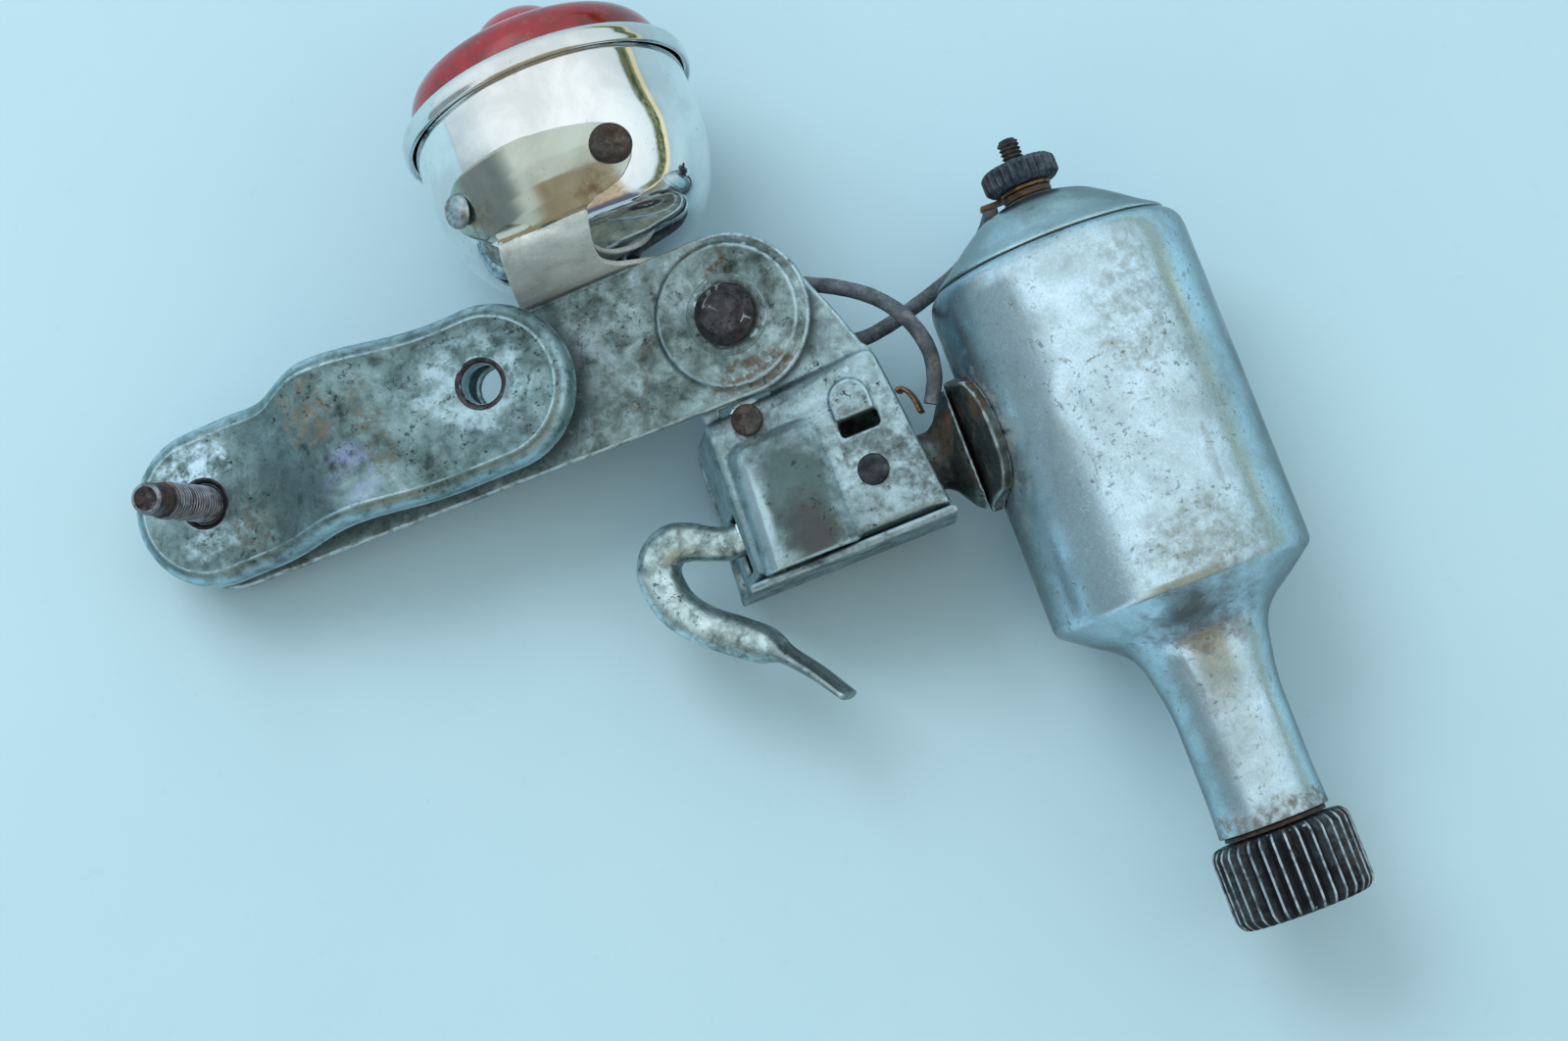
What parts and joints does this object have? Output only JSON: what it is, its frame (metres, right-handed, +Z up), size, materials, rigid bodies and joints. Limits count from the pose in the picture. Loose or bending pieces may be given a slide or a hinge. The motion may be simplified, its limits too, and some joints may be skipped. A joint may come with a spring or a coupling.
{
  "type": "bicycle bottle generator set",
  "caption": "Bottle generator with knurled drive roller and red-lens tail lamp, both carried by a sheet-metal frame-tube clamp with a spring hinge and release lever.",
  "frame": {"origin": "middle of the set's footprint, on the surface it lies on", "axes": "+Z up from the surface; +Y along the generator's axis from its roller to its terminal; +X from the clamp bolt to the generator"},
  "size_m": [0.173, 0.178, 0.0502],
  "materials": {
    "dull_zinc": "grey-green weathered zinc plating with worn bright patches and a little brown rust",
    "bright_zinc": "pale zinc plating with fine dark pits",
    "chrome": "mirror chrome plating",
    "satin_shell": "polished metal dulled by fine scratches and dark pit clusters",
    "rusty_steel": "brown rusted steel",
    "black_steel": "dark oxidised steel with worn crests",
    "red_lens": "translucent crimson moulding",
    "lead_rubber": "grey-blue insulation",
    "copper": "dull copper",
    "brass": "dull brass",
    "bulb_glass": "clear glass",
    "phenolic": "dark brown moulded insulation",
    "sheet_nickel": "warm grey plated sheet"
  },
  "bodies": {
    "arm": {"clamp_arm": "dull_zinc", "clamp_washer": "bright_zinc", "pivot_bolt": "black_steel", "pivot_washer": "bright_zinc", "pivot_nut": "rusty_steel", "lamp_bracket": "sheet_nickel", "lamp_rivet_left": "bright_zinc", "lamp_screw_right": "rusty_steel", "lamp_shell": "chrome", "bulb_socket": "brass", "bulb_base": "bright_zinc", "bulb_glass": "bulb_glass", "contact_spring": "brass", "lamp_grommet": "lead_rubber", "lead_earth": "lead_rubber", "lead_live_lamp": "lead_rubber"},
    "jaw": {"clamp_jaw": "dull_zinc"},
    "bolt": {"clamp_bolt": "rusty_steel"},
    "lens_cap": {"lens": "red_lens", "lamp_rim": "chrome"},
    "housing": {"housing_cover": "bright_zinc", "housing_back": "dull_zinc", "lever_rivet": "rusty_steel", "cover_rivet": "dull_zinc", "hinge_spindle": "dull_zinc", "torsion_spring": "black_steel", "earth_lug": "copper", "lead_live_generator": "lead_rubber"},
    "lever": {"release_lever": "bright_zinc"},
    "generator": {"yoke": "dull_zinc", "saddle": "dull_zinc", "generator_body": "satin_shell", "generator_cap": "satin_shell", "terminal_insulator": "phenolic", "wire_tag": "copper", "terminal_stud": "rusty_steel", "lower_bush": "brass", "upper_bush": "brass", "dust_washer": "phenolic", "stator_coil": "copper", "pole_lower": "dull_zinc", "pole_upper": "dull_zinc"},
    "terminal_nut": {"terminal_nut": "black_steel"},
    "rotor": {"rotor_shaft": "bright_zinc", "magnet_rotor": "black_steel", "friction_roller": "black_steel", "roller_nut": "rusty_steel"}
  },
  "joints": [
    {"name": "clamp_bolt_turn", "type": "hinge", "parent": "arm", "child": "bolt", "pos_m": [-0.0724, 0.03239, 0.00769], "axis": [0.225, 0, -0.9744], "range_deg": [-1450, 2900]},
    {"name": "jaw_slide", "type": "slide", "parent": "arm", "child": "jaw", "axis": [-0.225, 0, 0.9744], "range_m": [-0.004, 0.008]},
    {"name": "lens_pull", "type": "slide", "parent": "arm", "child": "lens_cap", "axis": [-0.0121, 0.9892, -0.1461], "range_m": [0, 0.02]},
    {"name": "arm_pivot", "type": "hinge", "parent": "arm", "child": "housing", "pos_m": [0.01341, 0.02959, 0.0275], "axis": [-0.225, 0, 0.9744], "range_deg": [-10, 10], "deforming": ["lead_earth", "lead_live_lamp"]},
    {"name": "release_lever_press", "type": "hinge", "parent": "housing", "child": "lever", "pos_m": [0.0112, 0.01329, 0.02258], "axis": [-0.225, 0, 0.9744], "range_deg": [0, 8], "stiffness_Nm_per_rad": 0.25, "springref_deg": -20.05},
    {"name": "generator_swing", "type": "hinge", "parent": "housing", "child": "generator", "pos_m": [0.01693, -0.00251, 0.0198], "axis": [0, -1, 0], "range_deg": [0, 18], "stiffness_Nm_per_rad": 0.3, "springref_deg": -51.57, "deforming": ["lead_live_generator", "torsion_spring"]},
    {"name": "roller_spin", "type": "hinge", "parent": "generator", "child": "rotor", "pos_m": [0.06511, -0.03041, 0.0214], "axis": [0, 1, 0], "continuous": true},
    {"name": "terminal_nut_turn", "type": "hinge", "parent": "generator", "child": "terminal_nut", "pos_m": [0.06511, 0.03539, 0.0214], "axis": [0, 1, 0], "continuous": true}
  ],
  "couplings": [
    {"joint": "clamp_bolt_turn", "follows": "jaw_slide", "rad_per_m": 6283.2}
  ]
}
